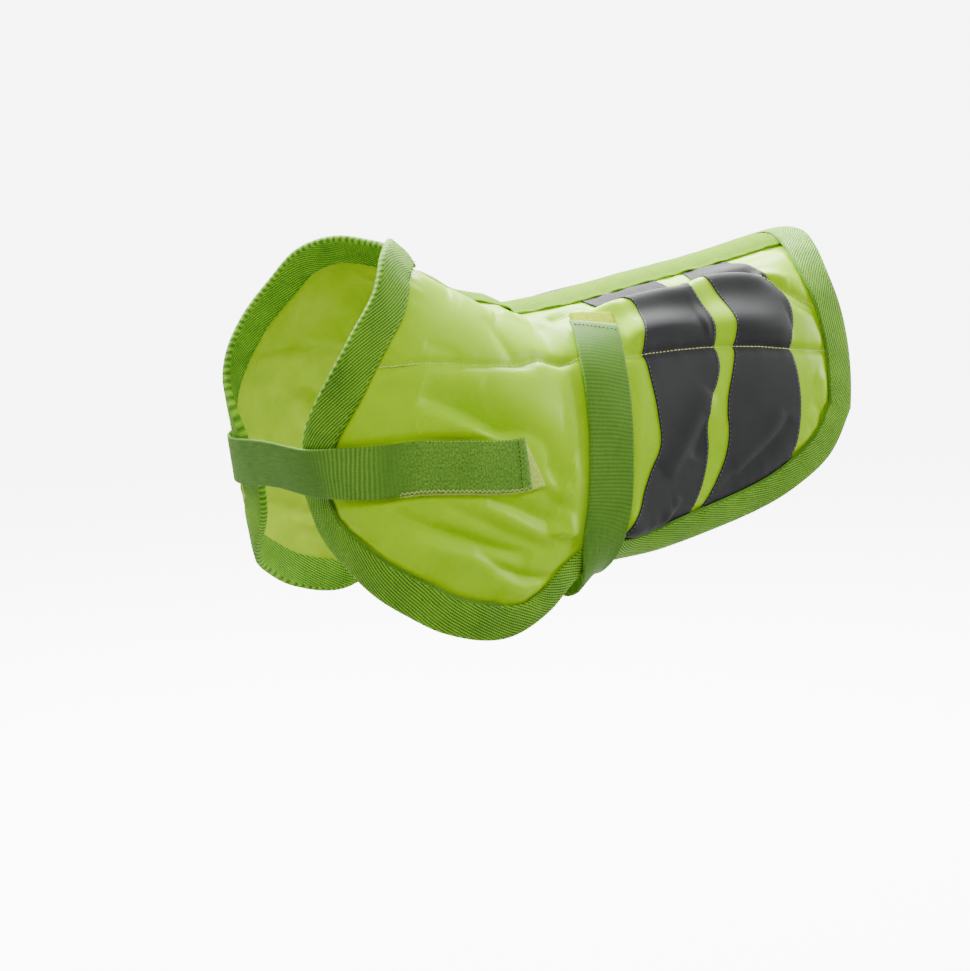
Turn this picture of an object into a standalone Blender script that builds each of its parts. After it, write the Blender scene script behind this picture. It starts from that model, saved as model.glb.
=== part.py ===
"""Dog coat: a quilted high-visibility shell with a taped spine, a folded edge binding, two
reflective bands a side and two webbing straps closed with hook-and-loop, in its worn shape.

Frame: metres. +X runs to the tail, -X to the head, -Y is the wearer's left, +Z is up.
The origin is the inner face of the coat on the spine, half way along the back.

The body form is a bent tube of rings. A place on it has two numbers: along (mm down the
spine from the neck edge) and angle (degrees round the ring from the spine, positive to the
wearer's left, 180 at the chest and belly). Every piece is a layer at an offset from it.
"""
import bmesh
import bpy
import numpy as np

MM = 0.001

# ---------------------------------------------------------------- cloth and layer sizes (mm)
SHELL_WALL = 2.6          # padded shell between the quilt lines
SHELL_EDGE_WALL = 1.4     # shell pressed flat under the binding and the spine tape
LAYER_GAP = 0.3           # air left between pieces that touch on the real coat
SEAM_ANGLE = 0.15         # degrees; each panel stops this far from the spine plane
BAND_WALL = 0.4
TAPE_WALL = 0.8
BINDING_WALL = 0.8
BINDING_WIDTH = 20.0      # visible width of the folded binding on the outside
BINDING_OUTER = 2.4       # under face of the outer leg, over the shell and the bands
SPINE_TAPE_HALF = 18.5
TAPE_MARGIN = 1.0
TAPE_TOP = 2.35           # under face of the spine tape
STRAP_WIDTH = 27.0
STRAP_WALL = 1.5
STRAP_LIFT = 4.6          # under face of both straps, over binding and loop patches
PATCH_WALL = 1.0
PRESS_MARGIN = 8.0        # shell held flat this far outside a strap
PRESS_BLEND = 12.0
EDGE_BLEND = 14.0         # shell regains its padding over this run past the binding

# ---------------------------------------------------------------- body form, one row a ring
FORM_COLUMNS = ("along", "x", "z", "tilt", "half_width", "up", "down", "top_curve", "low_curve")
FORM_ROWS = (
    (-30, -174, 48, 44, 52, 58, 42, 2.0, 2.8),
    (0, -151, 28, 41, 60, 66, 50, 2.0, 3.2),
    (22, -132, 13, 38, 69, 80, 57, 2.1, 3.6),
    (42, -115, 2, 34, 76, 87, 77, 2.2, 4.0),
    (56, -103, -4, 29, 81, 91, 97, 2.2, 4.4),
    (72, -90, -10, 19, 84, 92, 110, 2.3, 4.6),
    (86, -77, -15, 10, 84, 90, 103, 2.4, 4.3),
    (101, -63, -13, 2, 82, 81, 64, 2.5, 3.7),
    (122, -42, -9, 0, 80, 80, 65, 2.5, 3.5),
    (164, 0, 0, 0, 78, 80, 77, 2.4, 3.2),
    (245, 79, 14, -2, 79, 85, 75, 2.3, 3.0),
    (327, 159, 32, -4, 72, 96, 75, 2.1, 3.0),
)

# ------------------------------------------- outline of a panel, from neck to tail round the hem
EDGE_COLUMNS = ("break", "along", "angle")
EDGE_ROWS = (
    ("neck", 0, 0),
    ("", -4, 9),
    ("", -14, 26),
    ("", -19, 46),
    ("", -16, 70),
    ("", -14, 96),
    ("", -9, 118),
    ("", 2, 140),
    ("front_low", 24, 157),
    ("", 34, 156),
    ("", 44, 147),
    ("", 55, 139),
    ("", 66, 136),
    ("", 78, 132),
    ("", 87, 125),
    ("", 94, 121),
    ("", 106, 127),
    ("front_band_front", 122, 133),
    ("front_band_rear", 168, 134),
    ("rear_band_front", 184, 133),
    ("rear_band_rear", 252, 121),
    ("", 276, 111),
    ("rear_low", 292, 94),
    ("", 296, 54),
    ("", 301, 34),
    ("", 311, 18),
    ("", 318, 8),
    ("tail", 320, 0),
)
EDGE_CELLS = {"neck": 11, "front_low": 17, "front_band_front": 4, "front_band_rear": 2,
              "rear_band_front": 4, "rear_band_rear": 6, "rear_low": 11}

# ------------------------------- edges of the reflective bands: along at the angles in the head
BAND_ANGLES = (0, 30, 60, 90)
BAND_EDGE_ROWS = (
    ("front_band_front", 147, 149, 141, 139),
    ("front_band_rear", 195, 195, 192, 184),
    ("rear_band_front", 213, 207, 206, 196),
    ("rear_band_rear", 260, 256, 252, 252),
)
BAND_NAMES = ("front_band", "rear_band")
ROWS_UNDER_TAPE = 2
ROWS_DOWN = 11
BINDING_STEPS = 2

# ------------------------- creases and puffs, each a line of three places (along, angle) a side
FOLD_COLUMNS = ("side", "a0", "g0", "a1", "g1", "a2", "g2", "width", "height")
FOLD_ROWS = (
    ("both", 4, 92, 31, 59, 96, 45, 4, -2.2),
    ("both", 62, 43, 168, 55, 296, 67, 4, -2.2),
    ("both", 96, 26, 200, 20, 312, 34, 5, -3.5),
    ("both", 130, 36, 200, 32, 262, 34, 9, 2.5),
    ("left", 28, 22, 50, 24, 76, 20, 10, 5.0),
    ("left", 88, 6, 80, 26, 62, 44, 7, -4.0),
    ("left", 24, 72, 52, 70, 84, 92, 10, 3.5),
    ("left", 20, 84, 50, 82, 76, 102, 7, -3.0),
    ("left", 46, 116, 66, 112, 86, 114, 6, -3.0),
    ("right", 26, 20, 52, 26, 80, 18, 11, 4.0),
    ("right", 90, 8, 78, 28, 58, 40, 8, -3.5),
    ("right", 22, 78, 56, 74, 82, 98, 10, 3.0),
    ("right", 44, 112, 66, 116, 84, 110, 7, -2.5),
)

# ---------------------------------------- centre lines of the straps, and the two loop patches
CHEST_STRAP_ROWS = ((70, 81), (47, 96), (31, 111), (20, 128), (16, 150), (15, 180),
                    (17, 209), (23, 232), (34, 250))
BELLY_STRAP_ROWS = ((120, 34), (113, 45), (106, 62), (103, 80), (103, 106), (106, 121), (112, 136),
                    (118, 156), (119, 180), (118, 204), (112, 224), (106, 242), (106, 266))
STRAP_CELLS_LONG = 42
STRAP_CELLS_WIDE = 2
PATCH_COLUMNS = ("name", "strap", "beyond", "slant", "length", "width", "shift")
PATCH_ROWS = (
    ("chest_loop_patch", CHEST_STRAP_ROWS, 5.5, 9, 80, 27.5, 0.8),
    ("belly_loop_patch", BELLY_STRAP_ROWS, 7, 0, 34, 26, -2.0),
)
PATCH_CELLS = (6, 4)
PATCH_LEAD = 30.0
SIDE_STEPS = 3

# ---------------------------------------------------------------------------- materials
MATERIALS = {
    "shell_cloth": ((0.62, 0.86, 0.04), 0.42),
    "binding_tape": ((0.20, 0.50, 0.03), 0.75),
    "reflective_tape": ((0.07, 0.07, 0.075), 0.55),
    "strap_webbing": ((0.10, 0.33, 0.02), 0.7),
    "chest_loop": ((0.50, 0.72, 0.15), 0.95),
    "belly_loop": ((0.62, 0.75, 0.0), 0.95),
}


# ================================================================ curves and the body form
def spline(knots, values, places):
    """Smooth curve through the values at the knots, read at the places."""
    knots = np.asarray(knots, float)
    values = np.asarray(values, float)
    places = np.asarray(places, float)
    spans = np.diff(knots)
    spare = (1,) * (values.ndim - 1)
    slopes = np.diff(values, axis=0) / spans.reshape(-1, *spare)
    share = (spans[1:] / (spans[:-1] + spans[1:])).reshape(-1, *spare)
    ease = np.concatenate([slopes[:1], share * slopes[:-1] + (1 - share) * slopes[1:], slopes[-1:]])
    cell = np.clip(np.searchsorted(knots, places, side="right") - 1, 0, len(knots) - 2)
    span = spans[cell].reshape(places.shape + spare)
    t = (places - knots[cell]).reshape(places.shape + spare) / span
    start = (2 * t ** 3 - 3 * t ** 2 + 1) * values[cell] + (t ** 3 - 2 * t ** 2 + t) * span * ease[cell]
    finish = (3 * t ** 2 - 2 * t ** 3) * values[cell + 1] + (t ** 3 - t ** 2) * span * ease[cell + 1]
    return start + finish


def smooth_step(value, low, high):
    """0 below low, 1 above high, with a soft rise between."""
    t = np.clip((value - low) / (high - low), 0.0, 1.0)
    return t * t * (3 - 2 * t)


def form_point(along, angle):
    """Place on the body form in mm; x, y, z in the last axis."""
    along, angle = np.broadcast_arrays(np.asarray(along, float), np.asarray(angle, float))
    rows = np.array(FORM_ROWS, float)
    ring = spline(rows[:, 0], rows[:, 1:], along)
    x, z, tilt, half_width, up, down, top_curve, low_curve = np.moveaxis(ring, -1, 0)
    rise = np.cos(np.radians(angle))
    reach = np.sin(np.radians(angle))
    height = np.where(rise >= 0, up, down)
    power = np.where(rise >= 0, top_curve, low_curve)
    radius = ((np.abs(rise) / height) ** power + (np.abs(reach) / half_width) ** power) ** (-1 / power)
    drop = up - radius * rise
    lean = np.radians(tilt)
    return np.stack([x - drop * np.sin(lean), -radius * reach, z - drop * np.cos(lean)], -1)


def form_axes(along, angle):
    """Change in place for 1 mm along and for 1 degree round."""
    by_along = (form_point(along + 0.5, angle) - form_point(along - 0.5, angle))
    by_angle = (form_point(along, angle + 0.5) - form_point(along, angle - 0.5))
    return by_along, by_angle


def unit(vectors):
    """Vectors of length one."""
    return vectors / np.linalg.norm(vectors, axis=-1, keepdims=True)


def form_normal(along, angle):
    """Outward direction of the body form."""
    by_along, by_angle = form_axes(along, angle)
    return unit(np.cross(by_angle, by_along))


def step_on_form(along, angle, move):
    """Place reached from (along, angle) by a short move in space, kept on the form."""
    by_along, by_angle = form_axes(along, angle)
    aa = (by_along * by_along).sum(-1)
    ab = (by_along * by_angle).sum(-1)
    bb = (by_angle * by_angle).sum(-1)
    ma = (by_along * move).sum(-1)
    mb = (by_angle * move).sum(-1)
    spread = aa * bb - ab * ab
    return along + (ma * bb - mb * ab) / spread, angle + (mb * aa - ma * ab) / spread


def chord(points):
    """Distance run so far along a line of points."""
    return np.concatenate([[0.0], np.cumsum(np.linalg.norm(np.diff(points, axis=0), axis=1))])


def smooth_path(places, count):
    """Even places on a smooth line on the form through (along, angle) places."""
    places = np.asarray(places, float)
    knots = chord(form_point(places[:, 0], places[:, 1]))
    fine = spline(knots, places, np.linspace(0, knots[-1], 200))
    run = chord(form_point(fine[:, 0], fine[:, 1]))
    even = np.linspace(0, run[-1], count + 1)
    return np.stack([np.interp(even, run, fine[:, k]) for k in (0, 1)], -1)


def distance_to_line(points, line):
    """Distance from each point to a line of points, and how far along it (0 to 1)."""
    starts = line[:-1]
    spans = np.diff(line, axis=0)
    lengths = (spans ** 2).sum(-1)
    best = np.full(points.shape[:-1], np.inf)
    where = np.zeros(points.shape[:-1])
    for k, (start, span, length) in enumerate(zip(starts, spans, lengths)):
        t = np.clip(((points - start) * span).sum(-1) / length, 0, 1)
        gap = np.linalg.norm(points - start - t[..., None] * span, axis=-1)
        nearer = gap < best
        best = np.where(nearer, gap, best)
        where = np.where(nearer, (k + t) / len(spans), where)
    return best, where


# ================================================================ the panel grid
def edge_places():
    """Places round the panel outline, and the sample number of each named break."""
    rows = np.array([(row[1], row[2]) for row in EDGE_ROWS], float)
    knots = chord(form_point(rows[:, 0], rows[:, 1]))
    breaks = [k for k, row in enumerate(EDGE_ROWS) if row[0]]
    samples = []
    marks = {}
    for first, last in zip(breaks[:-1], breaks[1:]):
        fine = spline(knots, rows, np.linspace(knots[first], knots[last], 160))
        run = chord(form_point(fine[:, 0], fine[:, 1]))
        name = EDGE_ROWS[first][0]
        marks[name] = len(samples)
        stops = panel_stops(name, run[-1])
        samples += [[np.interp(stop, run, fine[:, k]) for k in (0, 1)] for stop in stops[:-1]]
    marks["tail"] = len(samples)
    samples.append([EDGE_ROWS[-1][1], EDGE_ROWS[-1][2]])
    return np.array(samples), marks


def panel_stops(name, length):
    """Distances of the samples down one stretch of the outline."""
    count = EDGE_CELLS[name]
    if name == "neck":
        return row_stops(length)
    if name == "rear_low":
        return length - row_stops(length)[::-1]
    return np.linspace(0, length, count + 1)


def row_stops(length):
    """Distances of the grid rows down a line from the spine; the first rows lie under the tape."""
    under = np.linspace(0, SPINE_TAPE_HALF, ROWS_UNDER_TAPE + 1)
    below = np.linspace(SPINE_TAPE_HALF, length, ROWS_DOWN - ROWS_UNDER_TAPE + 1)
    return np.concatenate([under, below[1:]])


def inset_places(edge, width, steps):
    """Lines of places parallel to the outline, at equal steps inward up to the width."""
    points = form_point(edge[:, 0], edge[:, 1])
    tangent = np.gradient(points, axis=0)
    tangent[0] = (0.0, -1.0, 0.0)
    tangent[-1] = (0.0, 1.0, 0.0)
    tangent = unit(tangent)
    lines = [edge]
    sub_steps = 3
    along, angle = edge[:, 0], edge[:, 1]
    for _ in range(steps):
        for _ in range(sub_steps):
            inward = np.cross(form_normal(along, angle), tangent)
            inward = unit(inward) * width / steps / sub_steps
            along, angle = step_on_form(along, angle, inward)
        lines.append(np.stack([along, angle], -1))
    return lines


def even_rows(line, marks):
    """The same border line with its neck and rear stretches cut at the panel rows."""
    first, last = marks["front_low"], marks["rear_low"]
    neck = at_stops(line[: first + 1], row_stops)
    rear = at_stops(line[last:][::-1], row_stops)[::-1]
    return np.concatenate([neck, line[first + 1: last], rear])


def at_stops(line, stops_for):
    """Places on a line at the distances that stops_for gives for its length."""
    run = chord(form_point(line[:, 0], line[:, 1]))
    stops = stops_for(run[-1])
    return np.stack([np.interp(stops, run, line[:, k]) for k in (0, 1)], -1)


def guide_places(row, foot):
    """Places down one band edge from the spine to its foot, on the panel rows."""
    places = [(a, g) for a, g in zip(row[1:], BAND_ANGLES)] + [tuple(foot)]
    return at_stops(smooth_path(places, 240), row_stops)


def blend_block(left, right, foot):
    """Grid of places between two lines that run down the panel, bent to meet the foot line."""
    row = np.arange(len(left))
    weight = np.clip((row - ROWS_UNDER_TAPE) / (len(row) - 1 - ROWS_UNDER_TAPE), 0, 1) ** 1.5
    share = np.linspace(0, 1, len(foot))[:, None]
    bulge = foot - (1 - share) * foot[0] - share * foot[-1]
    return (1 - share) * left[:, None] + share * right[:, None] + weight[:, None, None] * bulge


def panel_grid():
    """Places of the left panel, its quads, and the quads of each named area."""
    edge, marks = edge_places()
    border = [even_rows(line, marks) for line in inset_places(edge, BINDING_WIDTH, BINDING_STEPS)]
    for line in border:
        line[0, 1] = line[-1, 1] = SEAM_ANGLE
    inner = border[-1]
    names = ["front_low", "front_band_front", "front_band_rear", "rear_band_front", "rear_band_rear", "rear_low"]
    guides = {row[0]: guide_places(row, inner[marks[row[0]]]) for row in BAND_EDGE_ROWS}
    guides["front_low"] = inner[: marks["front_low"] + 1]
    guides["rear_low"] = inner[marks["rear_low"]:][::-1]
    columns = []
    for first, last in zip(names[:-1], names[1:]):
        foot = inner[marks[first]: marks[last] + 1]
        left, right = guides[first], guides[last]
        left[0, 1] = right[0, 1] = SEAM_ANGLE
        block = blend_block(left, right, foot)
        columns.append(block if first == "front_low" else block[:, 1:])
    field = np.concatenate(columns, axis=1)
    return stitch_panel(field, border, marks)


def stitch_panel(field, border, marks):
    """Join the inner field of places to the border lines under the binding.

    Returns the places, the quads, the quads of each band, and the place numbers of the
    border lines from the outline inwards.
    """
    rows, cols = field.shape[:2]
    number = np.arange(rows * cols).reshape(rows, cols)
    start = marks["front_low"]
    reach = {name: (marks[name + "_front"] - start, marks[name + "_rear"] - start) for name in BAND_NAMES}
    quads = []
    bands = {name: [] for name in BAND_NAMES}
    for r in range(rows - 1):
        for c in range(cols - 1):
            quad = (number[r, c], number[r + 1, c], number[r + 1, c + 1], number[r, c + 1])
            quads.append(quad)
            for name, (low, high) in reach.items():
                if low <= c < high and r >= ROWS_UNDER_TAPE - 1:
                    bands[name].append(quad)
    places = [field.reshape(-1, 2)]
    count = rows * cols
    lines = [np.concatenate([number[:, 0], number[-1, 1:], number[-2::-1, -1]])]
    for line in border[-2::-1]:
        inner = lines[0]
        outer = np.arange(count, count + len(line))
        count += len(line)
        places.append(line)
        for k in range(len(line) - 1):
            quad = (inner[k], outer[k], outer[k + 1], inner[k + 1])
            quads.append(quad)
            for name, (low, high) in reach.items():
                if low <= k - start < high and len(lines) == 1:
                    bands[name].append(quad)
        lines.insert(0, outer)
    return np.concatenate(places), quads, bands, lines


# ================================================================ relief of the shell
def fold_height(points, side):
    """Creases and puffs of one side, in mm."""
    total = np.zeros(points.shape[:-1])
    sign = 1 if side == "left" else -1
    for name, a0, g0, a1, g1, a2, g2, width, height in FOLD_ROWS:
        if name not in ("both", side):
            continue
        path = smooth_path([(a0, sign * g0), (a1, sign * g1), (a2, sign * g2)], 16)
        gap, where = distance_to_line(points, form_point(path[:, 0], path[:, 1]))
        total += height * np.exp(-(gap / width) ** 2) * np.sin(np.pi * where) ** 0.5
    return total


def strap_press(points):
    """1 where the shell is free, 0 where a strap holds it flat."""
    free = np.ones(points.shape[:-1])
    for rows in (CHEST_STRAP_ROWS, BELLY_STRAP_ROWS):
        path = smooth_path(rows, 40)
        gap, _ = distance_to_line(points, form_point(path[:, 0], path[:, 1]))
        held = STRAP_WIDTH / 2 + PRESS_MARGIN
        free *= smooth_step(gap, held, held + PRESS_BLEND)
    return free


def shell_offsets(places, outline, side):
    """Inner and outer offset of the shell at each place of a panel."""
    points = form_point(places[:, 0], places[:, 1])
    to_edge, _ = distance_to_line(points, points[outline])
    from_edge = smooth_step(to_edge, BINDING_WIDTH, BINDING_WIDTH + EDGE_BLEND)
    beside = np.abs(points[:, 1]) - SPINE_TAPE_HALF
    from_spine = smooth_step(beside, TAPE_MARGIN, TAPE_MARGIN + EDGE_BLEND)
    free = from_edge * from_spine
    inner = fold_height(points, side) * free * strap_press(points)
    wall = SHELL_EDGE_WALL + (SHELL_WALL - SHELL_EDGE_WALL) * free
    return inner, inner + wall


def lift(places, offsets):
    """Points at the offsets from the form."""
    normal = form_normal(places[:, 0], places[:, 1])
    return form_point(places[:, 0], places[:, 1]) + normal * np.asarray(offsets)[..., None]


# ================================================================ solids
def make_material(name):
    """Plain material of one slot."""
    colour, roughness = MATERIALS[name]
    material = bpy.data.materials.new(name)
    material.use_nodes = True
    shader = material.node_tree.nodes["Principled BSDF"]
    shader.inputs["Base Color"].default_value = (*colour, 1.0)
    shader.inputs["Roughness"].default_value = roughness
    shader.inputs["Metallic"].default_value = 0.0
    return material


def make_solid(name, points, faces, material):
    """Named closed mesh from points in mm."""
    mesh = bpy.data.meshes.new(name)
    mesh.from_pydata([tuple(p) for p in np.asarray(points) * MM], [], [tuple(map(int, f)) for f in faces])
    mesh.validate()
    sheet = bmesh.new()
    sheet.from_mesh(mesh)
    bmesh.ops.recalc_face_normals(sheet, faces=sheet.faces)
    sheet.to_mesh(mesh)
    sheet.free()
    mesh.materials.append(material)
    for face in mesh.polygons:
        face.use_smooth = True
    solid = bpy.data.objects.new(name, mesh)
    bpy.context.scene.collection.objects.link(solid)
    return solid


def halves(quad, turned=False):
    """Two triangles of a quad, split at its first corner, or at its second where turned."""
    a, b, c, d = quad
    return [(b, c, d), (b, d, a)] if turned else [(a, b, c), (a, c, d)]


def wall_faces(quads, count):
    """Faces of a closed wall: the quads, the same quads on the other face, and the rim."""
    faces = []
    borders = set()
    for quad in quads:
        for triangle in halves(quad):
            faces.append(triangle)
            faces.append(tuple(count + v for v in triangle[::-1]))
        for a, b in zip(quad, quad[1:] + quad[:1]):
            if (b, a) in borders:
                borders.remove((b, a))
            else:
                borders.add((a, b))
    for a, b in sorted(borders):
        faces += halves((b, a, count + a, count + b))
    return faces


def wall_solid(name, outer, inner, quads, material):
    """Closed wall between two faces that share their quads."""
    used = sorted({int(v) for quad in quads for v in quad})
    order = {v: k for k, v in enumerate(used)}
    local = [tuple(order[int(v)] for v in quad) for quad in quads]
    points = np.concatenate([outer[used], inner[used]])
    return make_solid(name, points, wall_faces(local, len(used)), material)


def grid_quads(rows, cols):
    """Quads of a plain grid."""
    number = np.arange(rows * cols).reshape(rows, cols)
    return [(int(number[r, c]), int(number[r + 1, c]), int(number[r + 1, c + 1]), int(number[r, c + 1]))
            for r in range(rows - 1) for c in range(cols - 1)]


def mirrored(places):
    """The same places on the wearer's right."""
    return places * np.array([1.0, -1.0])


def build_panels(grid, cloth, band_material):
    """Both shell panels and their reflective bands."""
    places, quads, bands, lines = grid
    for side in ("left", "right"):
        here = places if side == "left" else mirrored(places)
        inner, outer = shell_offsets(here, lines[0], side)
        wall_solid(side + "_panel", lift(here, outer), lift(here, inner), quads, cloth)
        low = lift(here, outer + LAYER_GAP)
        high = lift(here, outer + LAYER_GAP + BAND_WALL)
        for name, patch in bands.items():
            wall_solid("{}_{}".format(side, name), high, low, patch, band_material)


def build_spine_tape(grid, material):
    """Flat tape over the spine seam, made from the panels' own places."""
    places = grid[0]
    cols = field_columns()
    rows = places[: (ROWS_UNDER_TAPE + 1) * cols].reshape(ROWS_UNDER_TAPE + 1, cols, 2)
    middle = rows[:1] * np.array([1.0, 0.0])
    strip = np.concatenate([rows[:0:-1], middle, mirrored(rows[1:])])
    strip[:, 0, 0] += LAYER_GAP
    strip[:, -1, 0] -= LAYER_GAP
    flat = strip.reshape(-1, 2)
    low = lift(flat, np.full(len(flat), TAPE_TOP))
    high = lift(flat, np.full(len(flat), TAPE_TOP + TAPE_WALL))
    wall_solid("spine_tape", high, low, grid_quads(*strip.shape[:2]), material)


def field_columns():
    """Number of places in one row of the panel's inner field."""
    return sum(cells for name, cells in EDGE_CELLS.items() if name not in ("neck", "rear_low")) + 1


def binding_profile():
    """Cross-section of the folded binding: (mm in from the edge, offset from the form)."""
    outer_top = BINDING_OUTER + BINDING_WALL
    inner_top = -LAYER_GAP
    wrap = LAYER_GAP + BINDING_WALL
    middle = (outer_top + inner_top - BINDING_WALL) / 2
    return ((BINDING_WIDTH, outer_top), (BINDING_WIDTH / 2, outer_top), (0.0, outer_top),
            (-wrap, middle), (0.0, inner_top - BINDING_WALL), (BINDING_WIDTH / 2, inner_top - BINDING_WALL),
            (BINDING_WIDTH / 2, inner_top), (0.0, inner_top), (-LAYER_GAP, middle),
            (0.0, BINDING_OUTER), (BINDING_WIDTH / 2, BINDING_OUTER), (BINDING_WIDTH, BINDING_OUTER))


def build_binding(grid, material):
    """One closed loop of folded tape round the whole outline."""
    places, _, _, lines = grid
    edge = places[lines[0]]
    inner = [places[line] for line in lines]
    beyond = inset_places(edge, -BINDING_WALL - LAYER_GAP, 1)[-1]
    edge_points = {BINDING_WIDTH: inner[2], BINDING_WIDTH / 2: inner[1], 0.0: inner[0]}
    loops = []
    for reach, offset in binding_profile():
        line = edge_points.get(reach)
        if line is None:
            share = reach / (-BINDING_WALL - LAYER_GAP)
            line = edge + (beyond - edge) * share
        line = line.copy()
        line[0, 1] = line[-1, 1] = 0.0
        loop = np.concatenate([line, mirrored(line)[-2:0:-1]])
        loops.append(lift(loop, np.full(len(loop), offset)))
    points = np.array(loops)
    ring, length = points.shape[:2]
    number = np.arange(ring * length).reshape(ring, length)
    reaches = [reach for reach, _ in binding_profile()]
    faces = []
    for r in range(ring):
        after = (r + 1) % ring
        for k in range(length):
            ahead = (k + 1) % length
            quad = (number[r, k], number[after, k], number[after, ahead], number[r, ahead])
            going_in = reaches[after] > reaches[r]
            faces += halves(quad, turned=going_in != (k >= len(edge) - 1))
    make_solid("edge_binding", points.reshape(-1, 3), faces, material)


def line_beside(path, reach):
    """Places at one distance to the side of a line, kept on the form."""
    points = form_point(path[:, 0], path[:, 1])
    ahead = unit(np.gradient(points, axis=0))
    across = unit(np.cross(form_normal(path[:, 0], path[:, 1]), ahead))
    along, angle = path[:, 0], path[:, 1]
    for _ in range(SIDE_STEPS):
        along, angle = step_on_form(along, angle, across * reach / SIDE_STEPS)
    return np.stack([along, angle], -1)


def build_strap(name, rows, material):
    """Webbing ribbon along a centre line."""
    path = smooth_path(rows, STRAP_CELLS_LONG)
    shares = np.linspace(-0.5, 0.5, STRAP_CELLS_WIDE + 1)
    strip = np.array([line_beside(path, STRAP_WIDTH * share) for share in shares])
    flat = strip.reshape(-1, 2)
    low = lift(flat, np.full(len(flat), STRAP_LIFT))
    high = lift(flat, np.full(len(flat), STRAP_LIFT + STRAP_WALL))
    wall_solid(name, high, low, grid_quads(*strip.shape[:2]), material)


def patch_places(strap_rows, beyond, slant, length, width, shift):
    """Grid of places of a loop patch that lies under the start of a strap and runs out past it."""
    path = smooth_path(strap_rows, STRAP_CELLS_LONG)
    run = chord(form_point(path[:, 0], path[:, 1]))
    lead = path[0] + (path[0] - path[1]) * PATCH_LEAD / run[1]
    path = np.concatenate([[lead], path])
    run = np.concatenate([[-PATCH_LEAD], run])
    lines = []
    for share in np.linspace(-0.5, 0.5, PATCH_CELLS[1] + 1):
        stops = np.linspace(-beyond - slant * share, length - beyond, PATCH_CELLS[0] + 1)
        spots = np.stack([np.interp(stops, run, path[:, k]) for k in (0, 1)], -1)
        lines.append(line_beside(spots, width * share + shift))
    return np.array(lines)


def build_patches(materials):
    """Loop patches under the strap ends."""
    for (name, *sizes), material in zip(PATCH_ROWS, materials):
        strip = patch_places(*sizes)
        flat = strip.reshape(-1, 2)
        base = SHELL_WALL + LAYER_GAP
        low = lift(flat, np.full(len(flat), base))
        high = lift(flat, np.full(len(flat), base + PATCH_WALL))
        wall_solid(name, high, low, grid_quads(*strip.shape[:2]), material)


def main():
    for item in list(bpy.data.objects):
        bpy.data.objects.remove(item, do_unlink=True)
    slots = {name: make_material(name) for name in MATERIALS}
    grid = panel_grid()
    build_panels(grid, slots["shell_cloth"], slots["reflective_tape"])
    build_spine_tape(grid, slots["binding_tape"])
    build_binding(grid, slots["binding_tape"])
    build_strap("chest_strap", CHEST_STRAP_ROWS, slots["strap_webbing"])
    build_strap("belly_strap", BELLY_STRAP_ROWS, slots["strap_webbing"])
    build_patches((slots["chest_loop"], slots["belly_loop"]))


if __name__ == "__main__":
    main()
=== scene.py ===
"""Looks of the dog coat: padded shells, folded binding, spine tape, reflective bands, webbing
straps, loop patches and their stitches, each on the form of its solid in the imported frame.

Sizes in the tables are mm and degrees on the body form; MM turns them into metres. A place on
the form is (along, angle): mm down the spine from the neck edge, and degrees round the ring
from the spine, positive on the wearer's left, 180 at the chest and belly.
"""
import math

import bpy
import numpy as np
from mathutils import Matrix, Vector


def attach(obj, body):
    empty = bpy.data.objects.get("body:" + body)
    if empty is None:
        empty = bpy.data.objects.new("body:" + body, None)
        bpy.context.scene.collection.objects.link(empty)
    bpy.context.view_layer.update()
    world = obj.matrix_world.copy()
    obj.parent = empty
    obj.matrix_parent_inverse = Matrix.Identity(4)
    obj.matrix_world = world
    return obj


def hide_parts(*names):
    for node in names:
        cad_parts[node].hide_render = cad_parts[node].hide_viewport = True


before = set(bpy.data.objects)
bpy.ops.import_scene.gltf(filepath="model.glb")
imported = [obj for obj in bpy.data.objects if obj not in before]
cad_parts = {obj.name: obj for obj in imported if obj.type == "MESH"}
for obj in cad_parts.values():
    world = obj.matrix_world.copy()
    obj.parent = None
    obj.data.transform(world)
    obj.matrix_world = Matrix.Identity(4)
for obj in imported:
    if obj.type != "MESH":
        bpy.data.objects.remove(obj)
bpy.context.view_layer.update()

MM = 0.001
ROOT = "root"

# ---- body form, one row a ring
# along, x, z, tilt, half width, up, down, top curve, low curve
FORM_ROWS = (
    (-30, -174, 48, 44, 52, 58, 42, 2.0, 2.8),
    (0, -151, 28, 41, 60, 66, 50, 2.0, 3.2),
    (22, -132, 13, 38, 69, 80, 57, 2.1, 3.6),
    (42, -115, 2, 34, 76, 87, 77, 2.2, 4.0),
    (56, -103, -4, 29, 81, 91, 97, 2.2, 4.4),
    (72, -90, -10, 19, 84, 92, 110, 2.3, 4.6),
    (86, -77, -15, 10, 84, 90, 103, 2.4, 4.3),
    (101, -63, -13, 2, 82, 81, 64, 2.5, 3.7),
    (122, -42, -9, 0, 80, 80, 65, 2.5, 3.5),
    (164, 0, 0, 0, 78, 80, 77, 2.4, 3.2),
    (245, 79, 14, -2, 79, 85, 75, 2.3, 3.0),
    (327, 159, 32, -4, 72, 96, 75, 2.1, 3.0),
)

# ---- outline of a panel: (along, angle)
NECK_EDGE = ((0, 0), (-4, 9), (-14, 26), (-19, 46), (-16, 70), (-14, 96), (-9, 118), (2, 140),
             (24, 157))
HEM_EDGE = ((24, 157), (34, 156), (44, 148), (55, 140.5), (66, 137.5), (78, 134), (87, 127),
            (94, 122), (106, 127), (122, 133), (168, 134), (184, 133), (252, 121), (276, 111),
            (292, 94))
REAR_EDGE = ((292, 94), (296, 54), (301, 34), (311, 18), (318, 8), (320, 0))

# ---- layers, in mm over the body form
SEAM_ANGLE = 0.15
SHELL_EDGE_TOP = 1.4
SHELL_PUFF = 2.4
LINING_DROP = 1.3
BINDING_WIDTH = 20.0
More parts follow.
